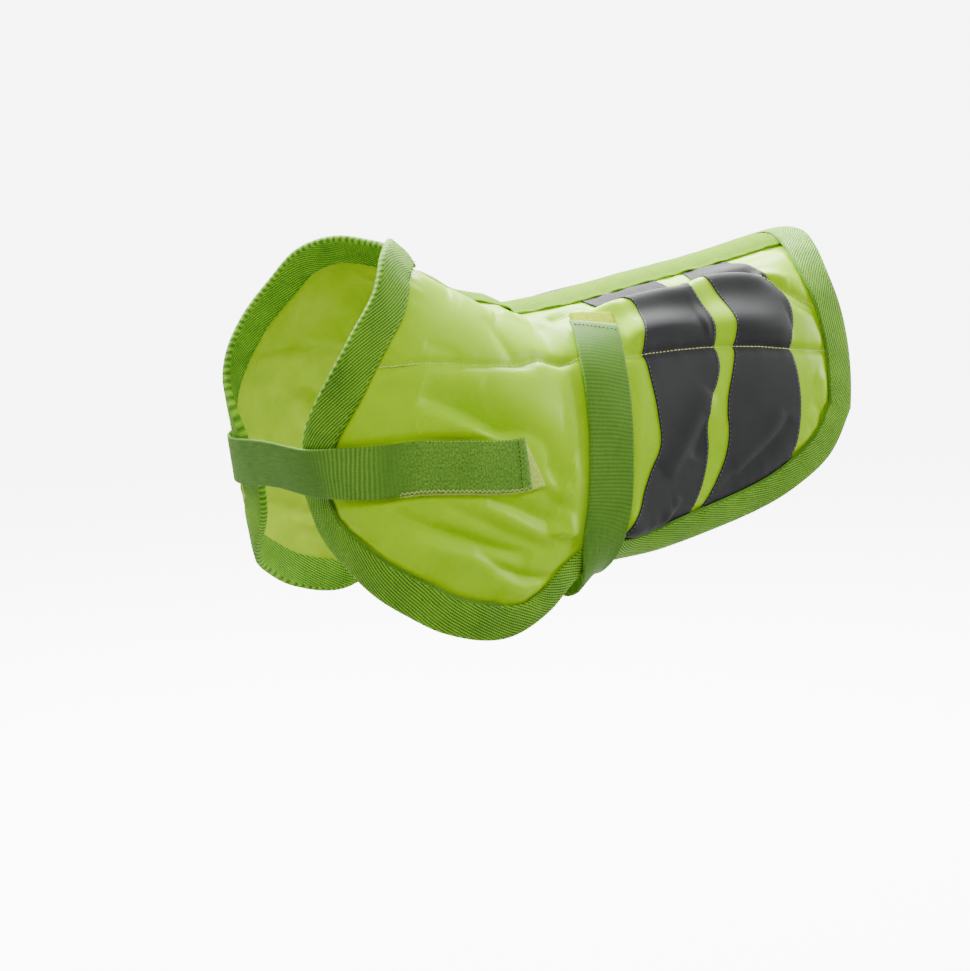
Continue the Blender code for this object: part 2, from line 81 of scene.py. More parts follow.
# run down the binding from the neck, and its width on the outside there
BINDING_REACH = ((0, 18.5), (150, 18.5), (200, 20), (335, 20), (362, 14), (400, 13), (430, 17),
                 (460, 20), (800, 20))
BINDING_INSIDE = 17.0
BINDING_FACE = 2.5
BINDING_WALL = 0.7
BINDING_CROWN = 0.35
BINDING_BULGE = 1.6
BINDING_UNDER = -1.2
# offsets of the two faces of the binding's inner leg
INNER_LEG = (-1.3, -0.7)
TAPE_HALF = 19.0
TAPE_WALL = 0.7
BAND_WALL = 0.35
LAYER_GAP = 0.25
STRAP_WIDTH = 27.0
STRAP_WALL = 1.5
STRAP_LIFT = 4.6
STRAP_ROUNDING = 0.55
# reach over which creases come back beside the chest strap and the belly strap
STRAP_FADES = (6.0, 12.0)
PATCH_LIFT = 3.2
PATCH_WALL = 1.1
PATCH_UNDER = 0.6
THREAD_LIFT = 0.05

PANEL_ROWS = 176
PANEL_COLS = 262
BINDING_CELLS = 8
SPINE_TAPE_CELLS = (150, 25)
PATCH_CELLS = (41, 17)
LINE_STEP = 2.5
FOLD_STEP = 3.0
STRAP_STEP = 2.0
STITCH_STEP = 1.5
SIDE_STEPS = 4
OUTLINE_SOFTEN = 4
SPINE_TAPE_RUN = (16, 304)

# run down the binding from the neck, and the slope of its ribs to the tape there
RIB_SLOPES = ((0, 22), (100, 23), (130, 20), (160, 12), (230, 32), (260, 18), (300, 12), (325, 16),
              (345, 28), (365, 50), (390, 40), (430, 18), (505, 22), (550, 17), (600, 17),
              (630, 25), (660, 34), (787, 30))

# ---- quilt seams of both sides
MAIN_SEAM = ((-6, 102), (3, 95), (20, 70), (31, 61), (39, 57), (51, 51), (61, 47), (79, 41),
             (97, 45), (121, 50), (140, 52), (191, 57), (226, 61), (247, 64), (283, 68), (296, 69),
             (302, 69))
UPPER_SEAM = ((104, 23), (130, 22), (200, 22), (240, 25), (262, 40), (290, 55))
# seam, depth of its groove, half width, seed of its ripples
QUILT = ((MAIN_SEAM, 1.0, 2.6, 7), (UPPER_SEAM, 2.0, 6.0, 8))

# ripples beside the binding and beside a quilt seam: pitch, reach, height
EDGE_RIPPLE = (9.0, 7.0, 0.55)
SEAM_RIPPLE = (8.0, 6.0, 0.2)
EDGE_SEED = 3
# waves of the edges of the spine tape and the binding: seed, pitch; and their heights
TAPE_WAVE = (5, 16.0)
TAPE_WAVE_HEIGHT = 0.5
BINDING_WAVE = (3, 22.0)
BINDING_WAVE_HEIGHT = 0.25

# share of the padding pressed flat, and the reach over which it swells up again
PUFF_REACH = 5.0
TAPE_PRESS = 0.6
TAPE_PRESS_FROM = 16.0
SEAM_PRESS = 0.9
SEAM_PRESS_REACH = 2.6
STRAP_PRESS = 0.65

# distance past the binding, or from the spine, over which creases and rises fade
CREASE_FADE = (-5, 9)
DIP_FADE = (-12, 8)
TAPE_FADE = (18, 25)
SPINE_FADE = (18, 42)

# rise of the spine over the form, along it
SPINE_RISE = ((0, -2), (6, -3.5), (12, -5), (17, -4.5), (22, -2), (30, -0.5), (40, -0.5), (50, 1),
              (60, 3.5), (70, 6), (80, 6), (90, 5), (100, 3.5), (120, 2), (140, 0.5), (160, 0),
              (330, 0))
# height of the ridge on the spine and its half width; depth of the hollow beside it
SPINE_ROOF = 2.2
ROOF_HALF = 12.0
FLANK_DEPTH = {"left": 2.8, "right": 3.6}
FLANK_PLACE = 23.0
FLANK_HALF = 8.0

# folds of each side: height (creases below 0), reach above and below the line, and the line
FOLDS = {"left": (
    (5.0, 5, 9, ((112, 25), (132, 26), (151, 28), (172, 29.5), (190, 31), (209, 28), (224, 29),
                 (240, 31), (256, 32), (268, 36))),
    (1.8, 3, 22, ((6, 17), (16, 18), (26, 20))),
    (2.0, 3, 20, ((24, 20), (34, 20), (46, 24), (54, 25))),
    (1.8, 3, 18, ((50, 26), (60, 24), (68, 18), (74, 15))),
    (1.8, 3, 14, ((76, 15), (84, 15), (92, 16), (102, 17))),
    (1.8, 3, 14, ((98, 17), (108, 17), (118, 18), (130, 21))),
    (3.8, 12, 6, ((128, 43), (140, 44), (165, 46), (191, 49))),
    (3.8, 12, 6, ((186, 49), (205, 50), (226, 53), (250, 55))),
    (-1.5, 5, 5, ((44, 32), (54, 40), (62, 46), (72, 45))),
    (1.4, 5, 9, ((4, 99), (20, 76), (34, 67), (46, 62))),
    (-1.2, 3, 6, ((14, 66), (24, 60), (33, 56))),
    (1.5, 12, 10, ((34, 66), (50, 64), (66, 63), (82, 63))),
    (-7.5, 9, 6, ((22, 84), (31, 79), (41, 75), (54, 73), (66, 75), (76, 79), (84, 85))),
    (4.8, 4, 13, ((26, 91), (36, 84), (50, 80), (64, 80), (76, 84), (86, 91))),
    (1.6, 2, 4, ((60, 76.5), (68, 78), (76, 80), (83, 84), (88, 90))),
    (-3.2, 5, 8, ((66, 80), (74, 86), (83, 92), (92, 99), (96, 104))),
    (2.5, 7, 9, ((84, 76), (90, 84), (95, 92), (98, 98))),
    (-4.6, 3, 5, ((38, 122), (48, 118), (58, 114), (68, 112), (78, 111))),
    (2.2, 4, 7, ((45, 126), (56, 121), (66, 117), (76, 116))),
    (-4.0, 6, 4, ((62, 98), (70, 97), (78, 98), (87, 99))),
    (1.6, 4, 5, ((58, 103), (66, 101), (76, 103), (85, 105))),
    (6.5, 14, 1.6, ((82, 102), (87, 103.5), (92, 105.5), (98, 106), (104, 105))),
    (-3.4, 2.6, 4, ((64, 115), (72, 117), (80, 117.5), (88, 117))),
    (-2.4, 3, 4, ((50, 108), (60, 106), (72, 106), (84, 108))),
    (1.8, 4, 7, ((68, 121), (78, 121), (88, 119))),
    (1.2, 5, 5, ((42, 134), (51, 131), (60, 129))),
    (2.2, 9, 5, ((146, 101), (156, 94), (165, 87), (173, 81.5), (182, 75))),
    (-1.6, 4, 6, ((166, 98), (172, 90), (178, 82))),
    (1.5, 4, 3, ((145, 121), (151, 117), (158, 112))),
    (-2.4, 3.5, 7, ((188, 114), (203, 110), (217, 104), (229, 98), (239, 91))),
    (1.4, 6, 4, ((198, 107), (212, 102), (225, 96), (236, 89))),
    (5.5, 12, 1.4, ((104, 110), (116, 116), (127, 120), (140, 122), (154, 122))),
    (-1.6, 2, 4, ((258, 45), (270, 50), (284, 57))),
    (1.2, 6, 2.5, ((262, 40), (275, 46), (287, 53))),
    (1.4, 5, 6, ((262, 76), (272, 82), (279, 90))),
    (-1.2, 4, 4, ((258, 86), (266, 92), (272, 98))),
), "right": (
    (1.5, 6, 9, ((116, 30), (150, 31), (190, 33), (226, 32), (262, 40))),
    (3.6, 8, 7, ((16, 31), (32, 33), (46, 40))),
    (-3.6, 7, 9, ((24, 45), (42, 50), (60, 46))),
    (2.2, 4, 7, ((6, 97), (22, 75), (38, 65))),
    (-4.4, 8, 7, ((24, 82), (38, 77), (54, 75), (72, 78), (86, 88))),
    (3.0, 5, 12, ((28, 90), (42, 84), (58, 82), (74, 87), (86, 95))),
    (-3.4, 3, 6, ((60, 88), (74, 93), (86, 101))),
    (-3.4, 4, 6, ((40, 119), (56, 114), (74, 108))),
    (2.2, 4, 7, ((44, 125), (60, 119), (76, 113))),
    (-2.6, 3, 3, ((60, 122), (70, 119), (82, 116))),
    (2.4, 7, 3, ((148, 103), (160, 94), (174, 82))),
    (-3.0, 3, 6, ((186, 112), (206, 107), (226, 96))),
    (1.8, 5, 3, ((196, 106), (214, 100), (230, 90))),
    (4.0, 12, 2.4, ((110, 114), (126, 120), (146, 122))),
    (-1.8, 3, 4, ((256, 44), (270, 50), (284, 54))),
    (1.8, 5, 4, ((258, 36), (272, 42), (286, 46))),
)}
SIDE_TURN = {"left": 1.0, "right": -1.0}
SIDE_SEED = {"left": 11, "right": 29}

# ---- reflective bands: front and rear edge
BANDS = (
    ("front_band",
     ((135, 12.8), (138, 19), (147, 26), (151, 30), (149, 39), (144, 46), (140, 52), (138.5, 60),
      (139.5, 74), (140.5, 88), (133, 97), (129, 103), (126, 109), (119, 114), (115, 121)),
     ((190, 12.8), (193, 22), (194, 32), (195, 44), (194, 51), (191, 58), (190, 65), (186, 71),
      (180, 77), (178, 85), (178, 97), (175, 109), (171, 118), (167, 127))),
    ("rear_band",
     ((213, 12.8), (211, 20), (209, 27), (210, 34), (210, 46), (208, 53), (203, 61), (197, 70),
      (193, 77), (192, 84), (193, 91), (191, 101), (186, 109), (180, 117), (176, 125)),
     ((247, 13), (250, 18), (253, 26), (254, 32), (257, 39), (257, 47), (253, 54), (248, 60),
      (246, 65), (247, 74), (248, 86), (247, 96), (244, 106), (238, 113))),
)
BAND_CELLS = (34, 130)

# ---- straps, their centre lines from the closed end to the sewn one
CHEST_STRAP = ((70, 81), (47, 96), (31, 111), (20, 128), (16, 150), (15, 180), (17, 209),
               (23, 232), (34, 250))
BELLY_STRAP = ((120, 34), (113, 45), (106, 62), (103, 80), (102, 100), (100, 118), (101, 131),
               (108, 156), (114, 180), (115, 204), (111, 224), (106, 242), (106, 266))
NO_TWIST = ((0, 0), (1, 0))
# run down the belly strap, and the lift of its tail-side edge over its front edge
BELLY_TWIST = ((0, 0), (30, 1.5), (60, 4), (90, 6.5), (120, 7.5), (150, 6), (200, 0), (700, 0))
# node, slot, strap, reach past the strap end, slant of the end, length, width, shift across
PATCHES = (
    ("chest_loop_patch", "chest_loop", CHEST_STRAP, 5.5, 9, 80, 27.5, 0.8),
    ("belly_loop_patch", "belly_loop", BELLY_STRAP, 13, 0, 40, 24, 1.6),
)
PATCH_LEAD = 30.0

# ---- stitches: pitch, share of the pitch that shows, thread radius
QUILT_STITCH = (2.6, 0.9, 0.34)
BAND_STITCH = (2.6, 0.5, 0.12)
BINDING_STITCH = (2.4, 0.6, 0.2)
ZIGZAG_STITCH = (1.3, 1.0, 0.2)
PLAIN_STITCH = (2.2, 0.5, 0.15)
END_STITCH = (2.3, 0.6, 0.3)
BINDING_STITCH_INSET = 1.6
STITCH_SIDES = 6
STITCH_RINGS = 5
ZIGZAG_SWAY = -1.7

# ---- camera and studio, in metres and degrees
VIEW_AZIMUTH = 36.0
VIEW_ELEVATION = 9.0
VIEW_DISTANCE = 1.3
VIEW_TARGET = (-0.04305, 0.05525, -0.120)
VIEW_LENS = 79.6
FLOOR_Z = -0.43
PAPER_GLOW = 7.0
PAPER_BOUNCE = 0.3
SKY_LIGHT = 0.36
FLOOR_HALF = 12.0
# name, place, size and power of each lamp, all aimed at LAMP_AIM
LAMP_AIM = (-0.03, 0.0, -0.06)
LAMPS = (
    ("overhead", (0.1, 0.68, 0.9), (1.7, 0.5), 140),
    ("front_fill", (-0.7, -1.0, 1.15), (0.6, 0.5), 15),
    ("tail_side", (1.6, -0.45, 0.45), (0.8, 0.8), 30),
)

# ---- cloth looks, in mm
RIB_PITCH = 1.4
BEAD_PITCH = 1.35
WEFT_PITCH = 2.1
SELVEDGE = (BINDING_WIDTH - 1.9, BINDING_WIDTH - 1.3)

# places and colours of the ramps, from the dips of each cloth to its tops; where a ramp follows
# the height of the ribs, weave and tufts (binding, spine tape, webbing, loop pile), its dark end
# is painted shade in the dips and its light end painted highlight on the tops
SHELL_TONES = ((0.3, (0.33, 0.63, 0.0)), (0.7, (0.39, 0.70, 0.0)))
LINING_TONES = ((0.3, (0.37, 0.55, 0.01)), (0.7, (0.46, 0.64, 0.02)))
BINDING_TONES = ((0.02, (0.028, 0.10, 0.012)), (0.45, (0.115, 0.28, 0.024)),
                 (0.9, (0.29, 0.62, 0.02)))
SPINE_TONES = ((0.05, (0.09, 0.21, 0.0)), (0.5, (0.16, 0.33, 0.0)), (1.0, (0.26, 0.47, 0.0)))
STRAP_TONES = ((0.0, (0.055, 0.15, 0.018)), (0.35, (0.10, 0.235, 0.028)),
               (1.0, (0.23, 0.44, 0.05)))
BAND_TONES = ((0.3, (0.027, 0.028, 0.029)), (0.7, (0.034, 0.035, 0.036)))
CHEST_LOOP_TONES = ((0.35, (0.46, 0.70, 0.05)), (0.65, (0.76, 0.94, 0.2)))
BELLY_LOOP_TONES = ((0.35, (0.24, 0.34, 0.0)), (0.65, (0.40, 0.50, 0.0)))
# colours of the sewing threads
THREADS = {"pale_thread": (0.86, 0.94, 0.3), "grey_thread": (0.30, 0.33, 0.33),
           "lime_thread": (0.30, 0.56, 0.04), "dark_thread": (0.035, 0.10, 0.006)}

# runs in mm where a strap's ribs start and end, where it turns smooth, where it stops being
# coarse, and the depth of its ribs
CHEST_WEAVE = ((78, 90), (104, 118), (106, 132), (58, 82), 0.42)
BELLY_WEAVE = ((4, 30), (100, 126), (100, 130), (-1, 0), 0.22)


# ---- curves and the body form
def spline(knots, values, places):
    """Smooth curve through the values at the knots, read at the places."""
    spans = np.diff(knots)
    spare = (1,) * (values.ndim - 1)
    slopes = np.diff(values, axis=0) / spans.reshape(-1, *spare)
    share = (spans[1:] / (spans[:-1] + spans[1:])).reshape(-1, *spare)
    inner = share * slopes[:-1] + (1 - share) * slopes[1:]
    ease = np.concatenate([slopes[:1], inner, slopes[-1:]])
    cell = np.clip(np.searchsorted(knots, places, side="right") - 1, 0, len(knots) - 2)
    span = spans[cell].reshape(places.shape + spare)
    t = (places - knots[cell]).reshape(places.shape + spare) / span
    start = (2 * t ** 3 - 3 * t ** 2 + 1) * values[cell]
    start = start + (t ** 3 - 2 * t ** 2 + t) * span * ease[cell]
    finish = (3 * t ** 2 - 2 * t ** 3) * values[cell + 1]
    return start + (finish + (t ** 3 - t ** 2) * span * ease[cell + 1])


def smooth_step(value, low, high):
    """0 below low, 1 above high, soft between."""
    t = np.clip((value - low) / (high - low), 0.0, 1.0)
    return t * t * (3 - 2 * t)


def bell(distance, half):
    """1 at no distance, near 0 past the half width."""
    return np.exp(-(distance / half) ** 2)


def read_table(rows, stops):
    """Second column of a table, read at stops of its first."""
    return np.interp(stops, *np.transpose(rows))


def read_columns(values, run, stops):
    """Each column of the values, at stops of their run."""
    return np.stack([np.interp(stops, run, column) for column in np.transpose(values)], -1)


def form_point(places):
    """Points of the body form in mm at (along, angle) places."""
    along, angle = places[..., 0], places[..., 1]
    rows = np.array(FORM_ROWS, float)
    ring = spline(rows[:, 0], rows[:, 1:], along)
    x, z, tilt, half_width, up, down, top_curve, low_curve = np.moveaxis(ring, -1, 0)
    rise = np.cos(np.radians(angle))
    reach = np.sin(np.radians(angle))
    height = np.where(rise >= 0, up, down)
    power = np.where(rise >= 0, top_curve, low_curve)
    sum_of_powers = (np.abs(rise) / height) ** power + (np.abs(reach) / half_width) ** power
    radius = sum_of_powers ** (-1 / power)
    drop = up - radius * rise
    lean = np.radians(tilt)
    return np.stack([x - drop * np.sin(lean), -radius * reach, z - drop * np.cos(lean)], -1)


def form_axes(places):
    """Change in place for 1 mm along and for 1 degree round."""
    halves = np.array([0.5, 0.0]), np.array([0.0, 0.5])
    return [form_point(places + half) - form_point(places - half) for half in halves]


def unit(vectors):
    """Vectors of length one."""
    return vectors / np.linalg.norm(vectors, axis=-1, keepdims=True)


def form_normal(places):
    """Outward direction of the body form."""
    by_along, by_angle = form_axes(places)
    return unit(np.cross(by_angle, by_along))


def step_on_form(places, move):
    """Places reached by a short move in space, kept on the form."""
    u, v = form_axes(places)
    aa, ab, bb, ma, mb = ((p * q).sum(-1)
                          for p, q in ((u, u), (u, v), (v, v), (u, move), (v, move)))
    spread = aa * bb - ab * ab
    return places + np.stack([(ma * bb - mb * ab) / spread, (mb * aa - ma * ab) / spread], -1)


def lift(places, offset):
    """Points at the offset from the form, one number or one for each place."""
    high = np.broadcast_to(np.asarray(offset, float), places.shape[:-1])
    return form_point(places) + form_normal(places) * high[..., None]


def chord(points):
    """Distance run so far along a line of points."""
    steps = np.linalg.norm(np.diff(points, axis=0), axis=1)
    return np.concatenate([[0.0], np.cumsum(steps)])


def run_along(path):
    """Distance run so far along a line of places."""
    return chord(form_point(path))


def smooth_path(places, count=None, step=LINE_STEP):
    """Even places on a smooth line on the form through (along, angle) places."""
    places = np.asarray(places, float)
    knots = run_along(places)
    fine = spline(knots, places, np.linspace(0, knots[-1], 40 * len(places)))
    run = run_along(fine)
    count = count or max(2, int(round(run[-1] / step)))
    return read_columns(fine, run, np.linspace(0, run[-1], count + 1))


def distance_to_line(points, line, across=None):
    """Distance from each point to a line of points, the run along it there, and its side."""
    best = np.full(points.shape[:-1], np.inf)
    where = np.zeros(points.shape[:-1])
    side = np.ones(points.shape[:-1])
    run = 0.0
    for number, (start, end) in enumerate(zip(line[:-1], line[1:])):
        span = end - start
        length = (span ** 2).sum()
        away = points - start
        t = np.clip((away @ span) / length, 0, 1)
        away = away - t[..., None] * span
        gap = np.linalg.norm(away, axis=-1)
        nearer = gap < best
        best = np.where(nearer, gap, best)
        where = np.where(nearer, run + t * math.sqrt(length), where)
        if across is not None:
            side = np.where(nearer, away @ across[number], side)
        run += math.sqrt(length)
    return best, where, side


def line_across(path):
    """Directions on the form, square to a line of places."""
    return unit(np.cross(form_normal(path), unit(np.gradient(form_point(path), axis=0))))


def beside(path, reach):
    """Places at one distance to the side of a line, kept on the form."""
    across = line_across(path)
    places = path
    for _ in range(SIDE_STEPS):
        places = step_on_form(places, across * reach / SIDE_STEPS)
    return places


def inset(line, tangent, reach):
    """Outline places moved inwards on the form, square to its tangents."""
    return step_on_form(line, unit(np.cross(form_normal(line), tangent)) * reach)


def turned(places, side):
    """Places of the wearer's left, turned to the side asked."""
    return np.array(places) * (1.0, SIDE_TURN[side])


def ripple(run, seed, scale):
    """Smooth uneven wave along a run, between about -1 and 1."""
    draw = np.random.RandomState(seed)
    total = np.zeros(np.shape(run))
    for _ in range(6):
        pitch = scale * draw.uniform(0.7, 2.6)
        total += np.sin(2 * np.pi * (run / pitch + draw.uniform()))
    return total / 2.6


def soften(rows, reach):
    """Each row averaged with its neighbours, up to the given number on each side."""
    padded = np.concatenate([rows[:1]] * reach + [rows] + [rows[-1:]] * reach)
    return sum(padded[k: k + len(rows)] for k in range(2 * reach + 1)) / (2 * reach + 1)


# ---- panels
def coons(left, right, top, bottom):
    """Grid of places between four border lines that share their corners."""
    down = np.linspace(0, 1, len(left))[:, None, None]
    over = np.linspace(0, 1, len(top))[None, :, None]
    sides = (1 - over) * left[:, None] + over * right[:, None]
    ends = (1 - down) * top[None] + down * bottom[None]
    corners = ((1 - over) * (1 - down) * left[0] + over * (1 - down) * right[0]
               + (1 - over) * down * left[-1] + over * down * right[-1])
    return sides + ends - corners


def panel_places():
    """Places of the left panel: rows from the spine to the hem, columns to the tail."""
    left = smooth_path(NECK_EDGE, PANEL_ROWS)
    right = smooth_path(REAR_EDGE[::-1], PANEL_ROWS)
    spine = np.linspace(0, REAR_EDGE[-1][0], PANEL_COLS + 1)
    grid = coons(left, right, np.stack([spine, 0 * spine], -1), smooth_path(HEM_EDGE, PANEL_COLS))
    grid[0, :, 1] = SEAM_ANGLE
    return grid


def outline():
    """Even places round the outline of the left panel, from neck to tail."""
    parts = [smooth_path(edge) for edge in (NECK_EDGE, HEM_EDGE, REAR_EDGE)]
    return np.concatenate([part[:-1] for part in parts[:2]] + [parts[2]])


def spine_form(places, spine, inside, flank=0.0):
    """Height of the back by the distance from the spine and the reach past the binding."""
    rise = read_table(SPINE_RISE, places[..., 0]) * (1 - smooth_step(spine, *SPINE_FADE))
    ridge = SPINE_ROOF * bell(spine, ROOF_HALF) - flank * bell(spine - FLANK_PLACE, FLANK_HALF)
    return (ridge + rise) * smooth_step(inside, *DIP_FADE)


class Relief:
    """Height of the padded shell of one side over the form."""

    def __init__(self, side):
        self.side = side
        self.turn = SIDE_TURN[side]
        self.edge = form_point(outline())
        self.seams = [(form_point(smooth_path(turned(seam, side))), *rest)
                      for seam, *rest in QUILT]
        self.straps = [form_point(smooth_path(rows, step=5.0))
                       for rows in (CHEST_STRAP, BELLY_STRAP)]
        self.folds = []
        for height, above, below, places in FOLDS[side]:
            path = smooth_path(turned(places, side), step=FOLD_STEP)
            across = line_across(path) * self.turn
            self.folds.append((height, above, below, form_point(path), across))

    def heights(self, places):
        """Offset of the lining face and of the outer face at the places."""
        points = form_point(places)
        to_edge, edge_run, _ = distance_to_line(points * (1.0, self.turn, 1.0), self.edge)
        inside = to_edge - read_table(BINDING_REACH, edge_run)
        spine = np.abs(points[..., 1])
        free = smooth_step(inside, *CREASE_FADE) * smooth_step(spine, *TAPE_FADE)
        fold = self.fold_sum(points)
        puff = 1 - np.exp(-np.clip(inside, 0, None) / PUFF_REACH)
        by_tape = np.clip(spine - TAPE_PRESS_FROM, 0, None)
        puff *= 1 - TAPE_PRESS * np.exp(-by_tape / PUFF_REACH)
        pucker = self.puckers(inside, edge_run, EDGE_SEED, *EDGE_RIPPLE)
        for line, depth, half, seed in self.seams:
            gap, run, _ = distance_to_line(points, line)
            puff *= 1 - SEAM_PRESS * np.exp(-gap / SEAM_PRESS_REACH)
            fold -= depth * bell(gap, half)
            pucker += self.puckers(gap, run, seed, *SEAM_RIPPLE)
        back = spine_form(places, spine, inside, FLANK_DEPTH[self.side])
        held = self.strap_hold(points)
        relief = ((fold + pucker) * free + back) * held
        padding = SHELL_PUFF * puff * (1 - STRAP_PRESS + STRAP_PRESS * held)
        top = SHELL_EDGE_TOP + padding + relief
        under = SHELL_EDGE_TOP + SHELL_PUFF * 0.25 * free + 0.9 * relief
        return under - LINING_DROP, top

    def puckers(self, gap, run, number, pitch, reach, height):
        """Small ripples that stand square to a seam and fade away from it."""
        fade = np.exp(-(np.clip(gap, 0, None) / reach) ** 1.5)
        return ripple(run, SIDE_SEED[self.side] + number, pitch) * fade * height

    def fold_sum(self, points):
        """Sum of the creases and puffs, each with its own reach on its two sides."""
        total = np.zeros(points.shape[:-1])
        for height, above, below, line, across in self.folds:
            gap, run, side = distance_to_line(points, line, across)
            shape = gap / np.where(side > 0, above, below)
            share = np.clip(run / chord(line)[-1], 0, 1)
            ends = (4 * share * (1 - share)) ** 0.5
            total += height * np.exp(-shape ** (2.0 if height > 0 else 1.5)) * ends
        return total

    def strap_hold(self, points):
        """1 where the shell is free, 0 where a strap presses it flat."""
        free = np.ones(points.shape[:-1])
        for line, fade in zip(self.straps, STRAP_FADES):
            gap, _, _ = distance_to_line(points, line)
            free *= smooth_step(gap, STRAP_WIDTH / 2 - 1, STRAP_WIDTH / 2 + fade)
        return free


# ---- meshes
def grid_quads(number):
    """Quads of a grid of vertex numbers."""
    quads = [number[:-1, :-1], number[1:, :-1], number[1:, 1:], number[:-1, 1:]]
    return np.stack(quads, -1).reshape(-1, 4)


def add_object(name, data):
    """Object of the data, put into the scene."""
    thing = bpy.data.objects.new(name, data)
    bpy.context.scene.collection.objects.link(thing)
    return thing


def add_piece(name, points, faces, materials):
    """Smooth piece of the coat, from points in mm."""
    mesh = bpy.data.meshes.new(name)
    mesh.from_pydata((np.asarray(points) * MM).tolist(), [], faces)
    mesh.polygons.foreach_set("use_smooth", np.ones(len(faces), bool))
    for material in materials:
        mesh.materials.append(material)
    piece = add_object(name, mesh)
    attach(piece, ROOT)
    return piece


def add_uv(piece, title, values):
    """uv layer, one pair of values for each face corner."""
    layer = piece.data.uv_layers.new(name=title)
    layer.data.foreach_set("uv", np.asarray(values, float).ravel())


def make_wall(name, node, places, low, high, materials, slot, flip, uv=None):
    """Closed wall between two offsets; a second material is on the low face."""
    rows, cols = places.shape[:2]
    number = np.arange(rows * cols).reshape(rows, cols)
    upper = grid_quads(number)
    lower = upper[:, ::-1] + rows * cols
    ring = np.concatenate([number[0, :-1], number[:-1, -1], number[-1, :0:-1], number[:0:-1, 0]])
    after = np.roll(ring, -1)
    rim = np.stack([ring, after, after + rows * cols, ring + rows * cols], -1)
    faces = np.concatenate([upper, lower, rim])
    if flip:
        faces = faces[:, ::-1]
    top = lift(places, high)
    uv = grid_uv(top) if uv is None else uv
    points = np.concatenate([top, lift(places, low)]).reshape(-1, 3)
    piece = add_piece(name, points, faces.tolist(), materials)
    add_uv(piece, "cloth", np.concatenate([uv.reshape(-1, 2)] * 2)[faces])
    if len(materials) > 1:
        inside = np.zeros(len(faces), np.int32)
        inside[len(upper): len(upper) + len(lower)] = 1
        piece.data.polygons.foreach_set("material_index", inside)
    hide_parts(node)
    return piece


def grid_uv(points):
    """Run across and down a grid of points, in mm."""
    over = np.linalg.norm(np.diff(points, axis=1, prepend=points[:, :1]), axis=-1)
    down = np.linalg.norm(np.diff(points, axis=0, prepend=points[:1]), axis=-1)
    return np.stack([np.cumsum(over, axis=1), np.cumsum(down, axis=0)], -1)


def build_panels(shade, reliefs):
    """Both padded shell panels."""
    left = panel_places()
    for side, relief in reliefs.items():
        places = turned(left, side)
        piece = make_wall(side + "_shell", side + "_panel", places, *relief.heights(places),
                          (shade["shell"], shade["lining"]), "shell_cloth", side == "right")


def build_bands(shade, reliefs):
    """Reflective bands, laid on the shell."""
    share = np.linspace(0, 1, BAND_CELLS[0] + 1)[None, :, None]
    for name, *edges in BANDS:
        for side, relief in reliefs.items():
            ahead, behind = (smooth_path(turned(edge, side), BAND_CELLS[1]) for edge in edges)
            places = (1 - share) * ahead[:, None] + share * behind[:, None]
            under = relief.heights(places)[1] + LAYER_GAP
            node = "{}_{}".format(side, name)
            piece = make_wall(node + "_tape", node, places, under, under + BAND_WALL,
                              (shade["band"],), "reflective_tape", side == "right")


def build_spine_tape(shade, reliefs):
    """Flat tape over the spine seam, on the shell of each side."""
    along = np.linspace(*SPINE_TAPE_RUN, SPINE_TAPE_CELLS[0])
    middle = np.stack([along, 0 * along], -1)
    shares = np.linspace(-1, 1, SPINE_TAPE_CELLS[1])[::-1]
    places = np.array([beside(middle, TAPE_HALF * share) for share in shares])
    left, right = (reliefs[side].heights(places)[1] for side in ("left", "right"))
    wave = shares[:, None] ** 2 * ripple(run_along(middle), *TAPE_WAVE) * TAPE_WAVE_HEIGHT
    under = np.where(places[..., 1] >= 0, left, right) + LAYER_GAP + wave
    piece = make_wall("spine_tape_strip", "spine_tape", places, under, under + TAPE_WALL,
                      (shade["spine"],), "binding_tape", False)


# ---- edge binding
def rib_places(run, across):
    """Distance square to the binding's ribs and along them, the same on both sides."""
    total = run.max()
    half = np.minimum(run, total - run)
    stops = np.linspace(0, total / 2, 1600)
    slopes = np.radians(read_table(RIB_SLOPES, stops))
    square = np.cumsum(np.sin(slopes)) * stops[1]
    along = np.cumsum(np.cos(slopes)) * stops[1]
    slope = np.interp(half, stops, slopes)
    return np.stack([np.interp(half, stops, square) + across * np.cos(slope),
                     np.interp(half, stops, along) - across * np.sin(slope)], -1).reshape(-1, 2)


def outline_tangents(left, ends=()):
    """Smoothed directions of the outline, with the ends set where given."""
    tangent = np.gradient(form_point(left), axis=0)
    for row, direction in ends:
        tangent[row] = direction
    return unit(soften(unit(tangent), OUTLINE_SOFTEN))


def binding_lines(left):
    """Lines from the outline to the edge of the binding's outer leg, and one past it."""
    tangent = outline_tangents(left, ((0, (0.0, -1.0, 0.0)), (-1, (0.0, 1.0, 0.0))))
    reach = read_table(BINDING_REACH, run_along(left)) / BINDING_CELLS
    lines = [left]
    for _ in range(BINDING_CELLS):
        halfway = inset(lines[-1], tangent, reach[:, None] / 2)
        lines.append(inset(halfway, tangent, reach[:, None] / 2))
    lines.append(inset(left, tangent, -1.0))
    for line in lines:
        line[0, 1] = line[-1, 1] = 0.0
    loops = [np.concatenate([line, turned(line, "right")[-2:0:-1]]) for line in lines]
    return loops, np.concatenate([reach, reach[-2:0:-1]])


